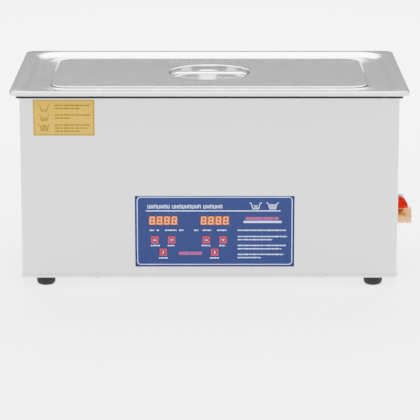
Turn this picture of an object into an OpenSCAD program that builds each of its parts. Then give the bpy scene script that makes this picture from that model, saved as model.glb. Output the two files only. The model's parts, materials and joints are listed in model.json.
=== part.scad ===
// Benchtop ultrasonic cleaner: a stainless tank hung in a sheet-steel housing, with a lift-off lid,
// a wire basket, a digital control panel, a side drain valve and a detachable mains cord.
// +X is the drain side, -Y the control panel, +Z up. The origin is on the floor, under the middle
// of the object's box.

/* [Rim and lid] */
// Length of the tank flange and the lid along X
rim_l = 530; // [500:1:640]
// Width of the tank flange and the lid along Y
rim_w = 325; // [270:1:390]
// Radius of the rim's corners
rim_corner = 12; // [6:1:20]
// How far the rim stands out beyond the housing
rim_overhang = 13; // [10:1:18]
// Height of the lid's turned-down edge
lid_edge_h = 3.8; // [3:0.2:6]
// Thickness of the lid's sheet
lid_sheet = 0.8; // [0.6:0.1:1.2]
// Width of the lid's flat border
lid_border = 10; // [6:1:14]
// Width of the slope from the border down to the channel
lid_slope = 21; // [14:1:26]
// Depth of the channel below the border
lid_channel_depth = 5; // [3:0.5:8]
// Width of the channel floor
lid_channel = 19; // [12:1:24]
// Height of the raised centre panel above the channel
lid_panel_rise = 2.7; // [1.5:0.1:4]
// Diameter of the hand recess
dish_d = 111; // [90:1:130]
// Depth of the hand recess below the centre panel
dish_depth = 14; // [10:1:18]
// Width of the strap across the hand recess
strap_w = 18; // [12:1:24]
// Thickness of the strap
strap_t = 1.5; // [1:0.1:2.5]

/* [Housing] */
// Height of the housing from its underside to its top flange
body_h = 245.5; // [200:0.5:300]
// Thickness of the housing and tray sheet
sheet = 1; // [0.8:0.1:1.5]
// Outside radius of the housing's folded edges
fold_r = 3; // [2:0.5:5]
// Height of the tray's turned-up edge
tray_lip = 4; // [3:0.5:8]
// Width of the housing's turned-in bottom flange
bottom_flange = 14; // [12:1:20]
// Height of the rubber seal under the tank flange
seal_h = 5; // [3:0.5:8]
// How far the seal stands out beyond the housing
seal_overhang = 5; // [3:1:8]

/* [Tank] */
// Depth of the tank below its flange
tank_depth = 150; // [120:1:180]
// Thickness of the tank sheet
tank_wall = 1; // [0.8:0.1:1.5]
// How much each tank wall leans in from mouth to floor
tank_draft = 10; // [4:1:16]
// Gap between the tank's mouth and the housing
tank_gap = 2; // [1.5:0.5:4]
// Radius of the tank's upright corners
tank_corner = 40; // [25:1:50]
// Radius between the tank's walls and floor
tank_floor_r = 15; // [8:1:20]

/* [Feet] */
// Height of the rubber feet
foot_h = 13; // [9:1:20]
// Diameter of a foot at the tray
foot_top_d = 27; // [22:1:32]
// Diameter of a foot at the floor
foot_bottom_d = 17; // [15:1:22]
// Distance of a foot's centre from the housing's end
foot_inset_x = 31; // [20:1:50]
// Distance of a foot's centre from the housing's front
foot_inset_y = 15; // [14:1:40]

/* [Control panel] */
// Length of the printed overlay
panel_l = 214; // [190:1:240]
// Height of the printed overlay
panel_h = 98; // [90:1:104]
// Distance of the overlay's centre from the housing's middle
panel_x = 7; // [-20:1:20]
// Height of the overlay's lower edge above the housing's underside
panel_lift = 14.5; // [8:0.5:20]
// Thickness of the overlay film
overlay_t = 0.5; // [0.3:0.1:1]
// Length of one four-digit display module
display_l = 40.2; // [36:0.1:44]
// Height of a display module
display_h = 12.8; // [11:0.1:15]
// Side of a square key
key_side = 9.8; // [8:0.1:12]
// How far a key stands out from the overlay
key_proud = 0.6; // [0.5:0.1:1]
// Travel of a key
key_travel = 0.5; // [0.3:0.1:0.5]
// Distance between the plus key and the minus key
key_pitch = 22.6; // [18:0.2:26]

/* [Labels] */
// Length of the yellow care label
care_l = 82; // [60:1:100]
// Height of the care label
care_h = 50; // [30:1:60]
// Length of the rating plate
plate_l = 100; // [80:1:120]
// Height of the rating plate
plate_h = 60; // [40:1:65]

/* [Drain] */
// Height of the drain valve's axis above the housing's underside
valve_lift = 50; // [40:1:60]
// How far the valve reaches beyond the housing's end
valve_reach = 31; // [29:1:40]
// Diameter of the valve's body
valve_d = 24; // [22:0.5:28]
// Diameter of the valve's ball
ball_d = 15; // [14:0.5:16]
// Diameter of the water way
water_d = 13; // [9:0.5:13]
// Diameter of the outlet's threaded hole
outlet_d = 15; // [13.5:0.5:17]
// Length of the lever
lever_l = 50; // [40:1:65]
// Distance of the tank's drain from the housing's right-hand wall
drain_inset = 47; // [44:1:54]

/* [Basket] */
// Room between the basket and the tank's mouth on each side
basket_gap = 28; // [23:1:60]
// Height of the basket's mesh walls
basket_h = 85; // [60:1:100]
// Radius of the basket's corners
basket_corner = 30; // [20:1:45]
// Thickness of the basket's mesh
mesh_t = 1.6; // [1.2:0.1:2.5]
// Distance between the mesh's wires
mesh_pitch = 19; // [15:1:25]
// Diameter of the rim, leg and handle wires
wire_d = 5; // [4:0.5:6]
// How far the handles stand above the basket's rim
handle_rise = 36; // [25:1:40]
// Width of a handle
handle_w = 90; // [70:1:110]

/* [Mains inlet] */
// Distance of the inlet's centre from the housing's middle
inlet_x = -151; // [-170:1:-120]
// Height of the inlet's centre above the housing's underside
inlet_lift = 57; // [50:1:60]
// Width of the inlet's flange
inlet_w = 29; // [27:0.5:31]
// Height of the inlet's flange
inlet_h = 34; // [33:0.5:36]

/* [Ultrasonics] */
// Diameter of a transducer's horn where it meets the tank
horn_d = 45; // [40:1:50]
// Height of a transducer's horn
horn_h = 28; // [24:1:30]
// Distance of the end transducers from the ends of the tank's floor
horn_inset = 73; // [65:1:90]
// Distance between the two rows of transducers
horn_pitch_y = 120; // [110:1:130]
// Transducers in a row
horns_in_row = 4; // [2:1:4]

/* [Cooling] */
// Side of the square fan
fan_side = 80; // [70:1:80]
// Depth of the fan
fan_depth = 25; // [20:1:25]
// Distance of the fan's centre from the housing's left-hand wall
fan_inset = 62; // [52:1:67]
// Blades on the fan
fan_blades = 7; // [5:1:9]
// Louvres in the end wall
louvres = 4; // [2:1:4]
// Length of a louvre
louvre_l = 75; // [50:1:90]
// How far a louvre stands out
louvre_r = 6; // [4:0.5:7]
// Distance between louvres
louvre_pitch = 15; // [14:1:18]

/* [Hidden] */
$fn = 64;
eps = 0.01;
slip = 0.05;          // running clearance on a radius
part_gap = 0.2;       // clearance between pieces that lie close
lid_gap = 0.2;        // clearance under the lid's edge
flange_sheet = 1;

housing_l = rim_l - 2 * rim_overhang;
housing_w = rim_w - 2 * rim_overhang;
inner_l = housing_l - 2 * sheet;
inner_w = housing_w - 2 * sheet;
seal_l = housing_l + 2 * seal_overhang;
seal_w = housing_w + 2 * seal_overhang;
mouth_l = inner_l - 2 * tank_gap;
mouth_w = inner_w - 2 * tank_gap;
tank_in_l = mouth_l - 2 * tank_wall;
tank_in_w = mouth_w - 2 * tank_wall;
basket_l = tank_in_l - 2 * basket_gap;
basket_w = tank_in_w - 2 * basket_gap;
horn_pitch_x = (tank_in_l - 2 * tank_draft - 2 * horn_inset) / (horns_in_row - 1);

base_z = foot_h;
tray_z = base_z + sheet;
top_z = base_z + body_h;
flange_z = top_z + seal_h;
mouth_z = flange_z + flange_sheet;
floor_z = mouth_z - tank_depth;
tank_under_z = floor_z - tank_wall;
lid_z = mouth_z + lid_gap;
lid_top_z = lid_z + lid_edge_h;
channel_z = lid_top_z - lid_channel_depth;
panel_z = channel_z + lid_panel_rise;
slope_inset = lid_border + lid_slope;
step_inset = slope_inset + lid_channel;
lid_step = 3;

front_y = -housing_w / 2;
back_y = housing_w / 2;
side_x = housing_l / 2;
drain_x = side_x - drain_inset;
fan_x = -side_x + fan_inset;
shift_x = -max(0, housing_l / 2 + valve_reach - rim_l / 2) / 2;

overlay_z = base_z + panel_lift + panel_h / 2;
temp_dx = -69;        // centre of the temperature group from the overlay's centre
time_dx = 0;
display_dz = 15;
key_row_dz = -11.5;
power_row_dz = -28.5;
display_glass_l = 38.6;
display_glass_h = min(12.2, display_h - 0.6);
display_depth = 6.4;
key_gap = 0.15;
key_depth = 1.6;
board_t = 1.6;
display_board_y = front_y + display_depth + 0.1;
display_board_l = display_l * 1.5 - temp_dx;
display_board_h = 58;

valve_z = base_z + valve_lift;
valve_end = side_x + valve_reach;
ball_x = side_x + 15;
seat_x = sqrt(pow(ball_d / 2, 2) - pow(water_d / 2 - 0.5, 2)) + 2 * slip;
stem_d = 6;
lever_z = valve_z + 22;
lever_t = 3;
hex_l = 8;
neck_l = 1.8;
nut_af = 28;
nut_t = 5.5;
thread_d = 20;
barb_d = 16;
hose_wall = 3;
hose_bend = 22;
spud_flange_d = 34;

inlet_z = base_z + inlet_lift;
socket_dz = 5;
drawer_dz = -11.5;
drawer_w = 22;
drawer_h = 7;
inlet_flange_t = 2.5;
inlet_depth = 25;

basket_floor_z = floor_z + 0.4 + wire_d + slip;
basket_wall_z = basket_floor_z + mesh_t;
basket_rim_z = basket_wall_z + basket_h;
handle_x = basket_l / 2 - mesh_t / 2 - wire_d - slip;
leg_x = basket_l * 0.3;

stack_gap = 0.5;
ring_d = 38;
ring_t = 5;
electrode_t = 0.3;
back_d = 40;
back_t = 14;
horn_under_z = tank_under_z - stack_gap - horn_h;
stack_h = 2 * ring_t + 3 * electrode_t;
back_z = horn_under_z - stack_h - back_t;
bolt_d = 10;

standoff_h = 10;
main_board_z = tray_z + standoff_h;
board_gap = 20;
main_board_l = 200;
main_board_x = fan_x + fan_side / 2 + board_gap + main_board_l / 2;
main_board_w = 110;
main_top_z = main_board_z + board_t;

cord_d = 7;
plug_z = 12.5;
// The free run of the cord, from the connector's relief down to the hank on the floor
cord_route = [
    [-160, 212, 75], [-160, 226, 74.5], [-159, 238, 70], [-156, 248, 60], [-150, 256, 46],
    [-142, 262, 31], [-131, 267, 17], [-117, 270, 7.5], [-101, 271, 3.5], [-92, 271, 3.5]
];
hank_x = -80;         // where the hank's straight runs start
hank_run = 120;
hank_y = 235.6;
hank_r = 35.4;
hank_h = 2 * cord_d + 1;

// ---- shared shapes ----

module place() translate([shift_x, 0, 0]) children();

module round_rect(l, w, r) {
    square([l - 2 * r, w], center = true);
    square([l, w - 2 * r], center = true);
    for (x = [-1, 1], y = [-1, 1]) translate([x * (l / 2 - r), y * (w / 2 - r)]) circle(r);
}

module slab(l, w, r, h) linear_extrude(h) round_rect(l, w, r);

module frame_slab(l, w, r, hole_l, hole_w, hole_r, h) linear_extrude(h) difference() {
    round_rect(l, w, r);
    round_rect(hole_l, hole_w, hole_r);
}

// A thin layer of a lofted shell, for hull()
module layer(l, w, r, z) translate([0, 0, z]) linear_extrude(eps) round_rect(l, w, r, $fn = 32);

// A rod along X, from x = 0
module rod_x(d, l) rotate([0, 90, 0]) cylinder(d = d, h = l);

// A rod along Y, from y = 0
module rod_y(d, l) rotate([-90, 0, 0]) cylinder(d = d, h = l);

module hex(af, h) cylinder(r = af / sqrt(3), h = h, $fn = 6);

// A quarter bend of round wire in the XY plane, from +X round to +Y
module bend(r, d) rotate_extrude(angle = 90) translate([r, 0]) circle(d = d);

module at_feet() for (x = [-1, 1], y = [-1, 1])
    translate([x * (side_x - foot_inset_x), y * (back_y - foot_inset_y), 0]) children();

// The tray's screws, along the middle of the housing's bottom flange
module at_screws() {
    for (x = [-0.3, 0.3], y = [-1, 1])
        translate([x * housing_l, y * (back_y - bottom_flange / 2 - sheet / 2), 0]) children();
    for (x = [-1, 1], y = [-0.25, 0.25])
        translate([x * (side_x - bottom_flange / 2 - sheet / 2), y * housing_w, 0]) children();
}

module at_transducers() for (i = [0:horns_in_row - 1], y = [-0.5, 0.5])
    translate([(i - (horns_in_row - 1) / 2) * horn_pitch_x, y * horn_pitch_y, 0]) children();

module on_panel(dx, dz) translate([panel_x + dx, front_y, overlay_z + dz]) children();

module key_slot(side, depth) translate([-side / 2, 0, -side / 2]) cube([side, depth, side]);

module at_keys() {
    for (dx = [temp_dx, time_dx]) {
        on_panel(dx - key_pitch / 2, key_row_dz) children();
        on_panel(dx + key_pitch / 2, key_row_dz) children();
        on_panel(dx, power_row_dz) children();
    }
}

module at_displays() for (dx = [temp_dx, time_dx]) on_panel(dx, display_dz) children();

// ---- housing ----

module louvre_space(r) {
    rod = louvre_l - 2 * louvre_r;
    intersection() {
        translate([0, -rod / 2, 0]) {
            rod_y(2 * r, rod);
            sphere(r);
            translate([0, rod, 0]) sphere(r);
        }
        translate([-r - 1, -louvre_l, 0]) cube([r + 1 + sheet + eps, 2 * louvre_l, r + 1]);
    }
}

module at_louvres() for (i = [0:louvres - 1])
    translate([-side_x, back_y - louvre_l / 2 - 22, base_z + 20 + i * louvre_pitch]) children();

module housing() color("gainsboro") difference() {
    union() {
        translate([0, 0, tray_z]) slab(housing_l, housing_w, fold_r, top_z - tray_z);
        translate([0, 0, top_z - sheet]) slab(seal_l, seal_w, fold_r + seal_overhang, sheet);
        at_louvres() louvre_space(louvre_r);
    }
    translate([0, 0, tray_z + sheet]) slab(inner_l, inner_w, fold_r - sheet, body_h);
    translate([0, 0, base_z])
        slab(inner_l - 2 * bottom_flange, inner_w - 2 * bottom_flange, fold_r, 3 * sheet);
    at_louvres() louvre_space(louvre_r - sheet);
    at_displays() translate([-display_l / 2 - part_gap, -1, -display_h / 2 - part_gap])
        cube([display_l + 2 * part_gap, sheet + 2, display_h + 2 * part_gap]);
    at_keys() translate([0, -1, 0]) key_slot(key_side + 1, sheet + 2);
    translate([inlet_x - inlet_w / 2 + 1, back_y - sheet - 1, inlet_z - inlet_h / 2 + 1])
        cube([inlet_w - 2, sheet + 2, inlet_h - 2]);
    translate([side_x - sheet - 1, 0, valve_z]) rod_x(thread_d + 2 * part_gap, sheet + 2);
    at_screws() cylinder(d = 4 + 2 * slip, h = base_z + 5 * sheet);
    at_feet() cylinder(d = 4 + 2 * slip, h = base_z + 5 * sheet);
}

module base_tray() color("silver") difference() {
    translate([0, 0, base_z])
        slab(housing_l + 2 * sheet, housing_w + 2 * sheet, fold_r + sheet, tray_lip);
    translate([0, 0, tray_z]) slab(housing_l, housing_w, fold_r, tray_lip);
    at_screws() cylinder(d = 4 + 2 * slip, h = base_z + 2 * sheet);
    at_feet() cylinder(d = 4 + 2 * slip, h = base_z + 2 * sheet);
    // air slots under the fan
    for (i = [-3:3]) translate([fan_x + i * 9 - 2.5, -26, base_z - 1]) cube([5, 52, 2 * sheet + 1]);
}

// Pan-head screws: those of the tray are driven from below, those of the feet from inside them
module pan_screw(head_z) {
    translate([0, 0, head_z - 2.4]) cylinder(d = 8, h = 2.4);
    translate([0, 0, head_z]) cylinder(d = 4, h = tray_z + 5 - head_z);
}

module base_screws() color("darkgray") {
    at_screws() pan_screw(base_z);
    at_feet() pan_screw(base_z - 4);
}

module feet() color("#202020") at_feet() difference() {
    cylinder(d1 = foot_bottom_d, d2 = foot_top_d, h = foot_h);
    translate([0, 0, -1]) cylinder(d = 10, h = foot_h - 3);
    cylinder(d = 4 + 2 * slip, h = foot_h + 1);
}

// ---- tank ----

// The space inside the tank, grown outwards by a wall
module tank_space(wall) {
    l = tank_in_l + 2 * wall;
    w = tank_in_w + 2 * wall;
    fall = 2 * tank_draft;
    hull() {
        layer(l, w, tank_corner, mouth_z);
        layer(l - fall, w - fall, tank_corner, floor_z + tank_floor_r);
        for (a = [30, 60]) layer(
            l - fall - 2 * tank_floor_r * (1 - cos(a)), w - fall - 2 * tank_floor_r * (1 - cos(a)),
            tank_corner - tank_floor_r * (1 - cos(a)),
            floor_z + tank_floor_r - (tank_floor_r + wall) * sin(a));
        layer(l - fall - 2 * tank_floor_r, w - fall - 2 * tank_floor_r,
            tank_corner - tank_floor_r, floor_z - wall);
    }
}

module tank() color("silver") difference() {
    union() {
        translate([0, 0, flange_z]) slab(rim_l, rim_w, rim_corner, flange_sheet);
        intersection() {
            tank_space(tank_wall);
            cube([rim_l, rim_w, 2 * (flange_z + flange_sheet / 2)], center = true);
        }
    }
    tank_space(0);
    translate([drain_x, 0, tank_under_z - 1]) cylinder(d = thread_d + 2 * part_gap, h = 4);
}

module tank_seal() color("#1c1c1c") translate([0, 0, top_z])
    frame_slab(seal_l, seal_w, fold_r + seal_overhang, mouth_l + 1, mouth_w + 1, tank_corner, seal_h);

// ---- control panel ----

module control_overlay() color("#22409a") difference() {
    on_panel(-panel_l / 2, -panel_h / 2) translate([0, -overlay_t, 0])
        cube([panel_l, overlay_t, panel_h]);
    at_displays() translate([-display_glass_l / 2, -overlay_t - 1, -display_glass_h / 2])
        cube([display_glass_l, overlay_t + 2, display_glass_h]);
    at_keys() translate([0, -overlay_t - 1, 0]) key_slot(key_side + 2 * key_gap, overlay_t + 2);
}

module led_displays() color("#401008") at_displays()
    translate([-display_l / 2, slip, -display_h / 2]) cube([display_l, display_depth, display_h]);

module display_board() color("darkgreen") translate([panel_x, display_board_y, overlay_z]) difference() {
    translate([temp_dx - display_l * 0.75, 0, display_dz + 9 - display_board_h])
        cube([display_board_l, board_t, display_board_h]);
    for (x = [temp_dx - display_l * 0.75 + 4, temp_dx - display_l * 0.75 + display_board_l - 4])
        for (z = [display_dz + 5, display_dz + 13 - display_board_h])
            translate([x, -1, z]) rod_y(3, board_t + 2);
}

// A tactile switch behind each key, with its plunger just clear of the pressed key
module key_switches() color("#303030") at_keys() {
    plunger_y = key_depth - overlay_t - key_proud + key_travel + part_gap;
    body_y = display_board_y - front_y - 3.5;
    translate([-3, body_y, -3]) cube([6, 3.5, 6]);
    translate([0, plunger_y, 0]) rod_y(3.4, body_y - plunger_y);
}

module key() color("firebrick") difference() {
    translate([0, -overlay_t - key_proud, 0]) key_slot(key_side, key_depth);
    for (x = [-1, 1], z = [-1, 1])
        translate([x * key_side / 2, -overlay_t - key_proud, z * key_side / 2])
            rotate([0, 45, 0]) cube([1, 4 * key_depth, 1], center = true);
}

module temp_up_key() on_panel(temp_dx - key_pitch / 2, key_row_dz) key();
module temp_down_key() on_panel(temp_dx + key_pitch / 2, key_row_dz) key();
module temp_power_key() on_panel(temp_dx, power_row_dz) key();
module time_up_key() on_panel(time_dx - key_pitch / 2, key_row_dz) key();
module time_down_key() on_panel(time_dx + key_pitch / 2, key_row_dz) key();
module time_power_key() on_panel(time_dx, power_row_dz) key();

// ---- labels ----

module care_label() color("gold")
    translate([-side_x + 18, front_y - 0.2, top_z - sheet - care_h - part_gap])
        cube([care_l, 0.2, care_h]);

module rating_plate() color("#181818")
    translate([inlet_x - inlet_w / 2 - 24, back_y, inlet_z + inlet_h / 2 + 1])
        cube([plate_l, 0.6, plate_h]);

// ---- mains inlet ----

// The outline of the appliance socket, with its two bevelled corners
module socket_outline(grow) {
    l = 12 + grow;
    h = 8 + grow;
    polygon([[-l, -h], [l, -h], [l, h - 5], [l - 5, h], [5 - l, h], [-l, h - 5]]);
}

module at_inlet() translate([inlet_x, back_y, inlet_z]) children();

// Stands a flat outline up on the back wall and runs it inwards
module into_wall(depth) rotate([90, 0, 0]) linear_extrude(depth) children();

module drawer_block(grow, y0, y1) translate([-drawer_w / 2 - grow, y0, drawer_dz - drawer_h / 2 - grow])
    cube([drawer_w + 2 * grow, y1 - y0, drawer_h + 2 * grow]);

module mains_inlet() color("#151515") at_inlet() difference() {
    union() {
        translate([-inlet_w / 2, 0, -inlet_h / 2]) cube([inlet_w, inlet_flange_t, inlet_h]);
        translate([-inlet_w / 2 + 1.2, -inlet_depth, -inlet_h / 2 + 1.2])
            cube([inlet_w - 2.4, inlet_depth, inlet_h - 2.4]);
    }
    translate([0, inlet_flange_t + 1, socket_dz]) into_wall(18) socket_outline(0.3);
    drawer_block(0.2, 4 - inlet_depth, inlet_flange_t + 1);
    for (x = [-7, 7]) translate([x, -20, socket_dz + 2]) cube([2.2, 30, 4.2], center = true);
    translate([0, -20, socket_dz - 2]) cube([2.2, 30, 4.2], center = true);
}

// Line and neutral pins above, earth pin below, with their solder tags behind
module inlet_pins() color("lightgray") at_inlet() {
    for (x = [-7, 7]) translate([x, -16, socket_dz + 2]) cube([2, 30, 4], center = true);
    translate([0, -16, socket_dz - 2]) cube([2, 30, 4], center = true);
}

module fuse_drawer() color("#202020") at_inlet() difference() {
    union() {
        drawer_block(0, 5 - inlet_depth, inlet_flange_t);
        translate([-drawer_w / 2 + 2, inlet_flange_t, drawer_dz - 1]) cube([drawer_w - 4, 1, 2]);
    }
    translate([0, -18, drawer_dz + 1]) rod_y(5.5, 16);
    translate([-2.75, -18, drawer_dz + 1]) cube([5.5, 16, 10]);
}

// One glass fuse with its two metal caps, lying in the drawer's trough
module fuse() color("lightblue") at_inlet() translate([0, -17.5, drawer_dz + 1]) {
    rod_y(4.6, 15);
    rod_y(5.2, 4);
    translate([0, 11, 0]) rod_y(5.2, 4);
}

// ---- ultrasonic transducers and heater ----

module transducer_horns() color("lightgray") at_transducers() translate([0, 0, horn_under_z]) difference() {
    union() {
        cylinder(d1 = ring_d, d2 = horn_d, h = horn_h - 4);
        translate([0, 0, horn_h - 4]) cylinder(d = horn_d, h = 4);
    }
    translate([0, 0, -1]) cylinder(d = bolt_d + 2 * slip, h = 19);
}

module piezo_rings() color("dimgray") at_transducers() for (i = [0, 1])
    translate([0, 0, horn_under_z - (i + 1) * (ring_t + electrode_t)]) difference() {
        cylinder(d = ring_d, h = ring_t);
        translate([0, 0, -1]) cylinder(d = bolt_d + 5, h = ring_t + 2);
    }

module electrode_rings() color("peru") at_transducers() for (i = [0:2])
    translate([0, 0, horn_under_z - electrode_t - i * (ring_t + electrode_t)]) difference() {
        union() {
            cylinder(d = ring_d, h = electrode_t);
            translate([ring_d / 2 - 2, -3, 0]) cube([7, 6, electrode_t]);
        }
        translate([0, 0, -1]) cylinder(d = bolt_d + 5, h = electrode_t + 2);
    }

module back_masses() color("slategray") at_transducers() translate([0, 0, back_z]) difference() {
    cylinder(d = back_d, h = back_t);
    translate([0, 0, -1]) cylinder(d = bolt_d + 2 * slip, h = back_t + 2);
}

module transducer_bolts() color("gray") at_transducers() translate([0, 0, back_z]) {
    translate([0, 0, -7]) hex(17, 7);
    cylinder(d = bolt_d, h = back_t + stack_h + 17);
}

// Silicone heater pads bonded to the underside of the tank, between and beside the transducers
module heater_pads() color("orangered") {
    pad_l = (horns_in_row - 1) * horn_pitch_x + 40;
    clear_w = horn_pitch_y - horn_d;
    side_y = (tank_in_w / 2 - tank_draft - tank_floor_r + horn_pitch_y / 2 + horn_d / 2) / 2;
    translate([-pad_l / 2, -clear_w * 0.35, tank_under_z - 2.5]) cube([pad_l, clear_w * 0.7, 2.5]);
    for (y = [-1, 1]) translate([-pad_l / 2, y * side_y - 14, tank_under_z - 2.5])
        cube([pad_l, 28, 2.5]);
}

module thermal_cutout() color("#704030") translate([0, horn_pitch_y / 2, tank_under_z - 8]) {
    cylinder(d = 16, h = 8);
    for (x = [-3.2, 3.2]) translate([x - 0.4, -3, -8]) cube([0.8, 6, 8]);
}

// ---- electronics ----

module generator_board() color("green") difference() {
    translate([main_board_x - main_board_l / 2, -main_board_w / 2, main_board_z])
        cube([main_board_l, main_board_w, board_t]);
    at_board_corners() translate([0, 0, main_board_z - 1]) cylinder(d = 3.2, h = board_t + 2);
}

module at_board_corners() for (x = [-1, 1], y = [-1, 1])
    translate([main_board_x + x * (main_board_l / 2 - 5), y * (main_board_w / 2 - 5), 0]) children();

// Four pillars under the generator board and four spacers behind the control panel
module board_standoffs() color("goldenrod") {
    at_board_corners() translate([0, 0, tray_z]) {
        hex(6, standoff_h);
        cylinder(d = 3, h = standoff_h + board_t + 1.5);
    }
    for (x = [temp_dx - display_l * 0.75 + 4, temp_dx - display_l * 0.75 + display_board_l - 4])
        for (z = [display_dz + 5, display_dz + 13 - display_board_h])
            translate([panel_x + x, front_y + sheet, overlay_z + z]) {
                rod_y(6, display_board_y - front_y - sheet);
                rod_y(2.9, display_board_y - front_y - sheet + board_t + 1.5);
            }
}

module heat_sink() color("#c0c0c8") translate([main_board_x - 70, 0, main_top_z])
    rotate([90, 0, 0]) translate([0, 0, -45]) linear_extrude(90) {
        translate([-20, 0]) square([40, 4]);
        for (i = [0:5]) translate([-20 + i * 7.6, 3]) square([2, 19]);
    }

module power_transistors() color("#101010") for (y = [-25, 25])
    translate([main_board_x - 70 + 20 + slip, y - 8, main_top_z]) {
        cube([5, 16, 21]);
        translate([5, 6, 4]) cube([1, 4, 12]);
    }

module transformer() color("#5a4030") translate([main_board_x + 5, -12, main_top_z]) {
    for (x = [-18, 10]) translate([x, -15, 0]) cube([8, 30, 24]);
    translate([-10, -11, 1]) cube([20, 22, 22]);
    for (z = [0, 20]) translate([-18, -8, z]) cube([36, 16, 4]);
}

module choke() color("#b06a20") translate([main_board_x + 45, 25, main_top_z])
    rotate_extrude() translate([9, 5]) circle(5);

module capacitors() color("#203060") {
    for (y = [-35, -15]) translate([main_board_x + 80, y, main_top_z]) cylinder(d = 16, h = 24);
    translate([main_board_x + 36, -40, main_top_z]) cube([26, 11, 20]);
    translate([main_board_x - 10, 30, main_top_z]) cube([18, 9, 15]);
}

// The mains lead, the ribbon to the control panel, and a trunk along each row of transducers
module wiring() color("crimson") {
    reach = (horns_in_row - 1) / 2 * horn_pitch_x;
    near = horn_pitch_y / 2 - back_d / 2 - 6;
    trunk_z = back_z + 10;
    solder_gap = 0.7;
    mains_x = main_board_x - main_board_l / 2 + 4;
    tube([[inlet_x, back_y - 32, inlet_z + socket_dz], [inlet_x + 8, back_y - 50, inlet_z + 2],
        [mains_x, 38, main_top_z + 24], [mains_x, 32, main_top_z + 12],
        [mains_x, 30, main_top_z + solder_gap]], 5, 8);
    tube([[panel_x + temp_dx, display_board_y + board_t + solder_gap, overlay_z - 10],
        [panel_x + temp_dx + 4, display_board_y + 20, overlay_z - 14],
        [main_board_x - 8, -56, main_top_z + 22], [main_board_x - 2, -47, main_top_z + 12],
        [main_board_x, -45, main_top_z + solder_gap]], 4, 8);
    for (y = [-near, near]) {
        translate([-reach, y, trunk_z]) rod_x(3, 2 * reach);
        translate([main_board_x + 67, y, main_top_z]) cylinder(d = 2.6, h = trunk_z - main_top_z);
    }
}

// ---- cooling ----

module fan_frame() color("#252525") translate([fan_x, 0, tray_z]) {
    difference() {
        translate([-fan_side / 2, -fan_side / 2, 0]) cube([fan_side, fan_side, fan_depth]);
        translate([0, 0, -1]) cylinder(d = fan_side - 4, h = fan_depth + 2);
        for (x = [-1, 1], y = [-1, 1])
            translate([x * (fan_side / 2 - 4.2), y * (fan_side / 2 - 4.2), -1])
                cylinder(d = 4.3, h = fan_depth + 2);
    }
    difference() {
        union() {
            for (a = [45, 165, 285]) rotate([0, 0, a]) translate([12, -2, 0])
                cube([fan_side / 2 - 12 - 1, 4, 3]);
            cylinder(d = 32, h = 3);
            cylinder(d = 8, h = fan_depth * 0.7);
        }
        translate([0, 0, 2]) cylinder(d = 3 + 2 * slip, h = fan_depth);
    }
}

module fan_rotor() color("#353535") translate([fan_x, 0, tray_z + 5]) {
    rotor_h = fan_depth - 7;
    difference() {
        cylinder(d = 32, h = rotor_h);
        translate([0, 0, -1]) cylinder(d = 28, h = rotor_h - 1);
    }
    translate([0, 0, -1]) cylinder(d = 3, h = rotor_h);
    for (i = [0:fan_blades - 1]) rotate([0, 0, i * 360 / fan_blades])
        translate([15.5, 0, rotor_h / 2]) rotate([40, 0, 0])
            translate([0, -8, -0.75]) cube([fan_side / 2 - 19, 16, 1.5]);
}

// Round wire guard under the tray, on four lugs
module fan_guard() color("silver") translate([fan_x, 0, base_z - 2.2]) {
    for (r = [12:8:36]) rotate_extrude() translate([r, 0]) circle(d = 1.8, $fn = 16);
    for (a = [45, 135]) rotate([0, 0, a]) translate([-fan_side * 0.63, -1.5, 0.3])
        cube([fan_side * 1.26, 3, 1.8]);
}

// ---- drain ----

module at_drain() translate([drain_x, 0, 0]) children();

module drain_spud() color("silver") at_drain() difference() {
    union() {
        translate([0, 0, floor_z + slip]) cylinder(d = spud_flange_d, h = 2);
        translate([0, 0, tank_under_z - 9]) cylinder(d = thread_d, h = 11);
        translate([0, 0, tank_under_z - 27]) cylinder(d = barb_d, h = 19);
    }
    translate([0, 0, tank_under_z - 40]) cylinder(d = water_d, h = 60);
}

// The valve's axis is X; it passes the housing's end wall and is held by a lock nut inside
module valve_body() color("goldenrod") translate([side_x, 0, valve_z]) difference() {
    union() {
        translate([slip, 0, 0]) rod_x(valve_d, valve_reach - hex_l - neck_l);
        rod_x(valve_d - 3, valve_reach - hex_l + 1);
        translate([valve_reach - hex_l, 0, 0]) rotate([0, 90, 0]) rotate([0, 0, 30])
            hex(valve_d - 2.5, hex_l);
        translate([-9, 0, 0]) rod_x(thread_d, 10);
        translate([-23, 0, 0]) rod_x(barb_d, 15);
        translate([ball_x - side_x, 0, 0]) cylinder(d = 13, h = 16);
        translate([ball_x - side_x, 0, 15.5]) hex(10, 3.5);
    }
    translate([-30, 0, 0]) rod_x(water_d - 1, 30 + ball_x - side_x);
    translate([ball_x - side_x, 0, 0]) rod_x(water_d - 1, valve_reach);
    translate([ball_x - side_x - ball_d / 2 - 1.5, 0, 0]) rod_x(ball_d + 2.2, ball_d + 3);
    translate([valve_reach - hex_l, 0, 0]) rod_x(outlet_d, hex_l + 1);
    translate([ball_x - side_x, 0, 0]) cylinder(d = stem_d + 2 * slip, h = 30);
}

// Plastic rings that the ball seals against, on both sides of it
module valve_seats() color("white") for (a = [0, 180])
    translate([ball_x, 0, valve_z]) rotate([0, 0, a]) difference() {
        translate([seat_x, 0, 0]) rod_x(ball_d + 2, ball_d / 2 + 1.4 - seat_x);
        rod_x(water_d - 1, ball_d);
    }

// The valve is shut at rest: the ball's water way lies along Y
module valve_ball() color("lightgray") translate([ball_x, 0, valve_z]) difference() {
    union() {
        sphere(d = ball_d);
        cylinder(d = stem_d, h = lever_z + lever_t + 4.8 - valve_z);
    }
    translate([0, -ball_d, 0]) rod_y(min(water_d - 4, ball_d - 6), 2 * ball_d);
}

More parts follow.
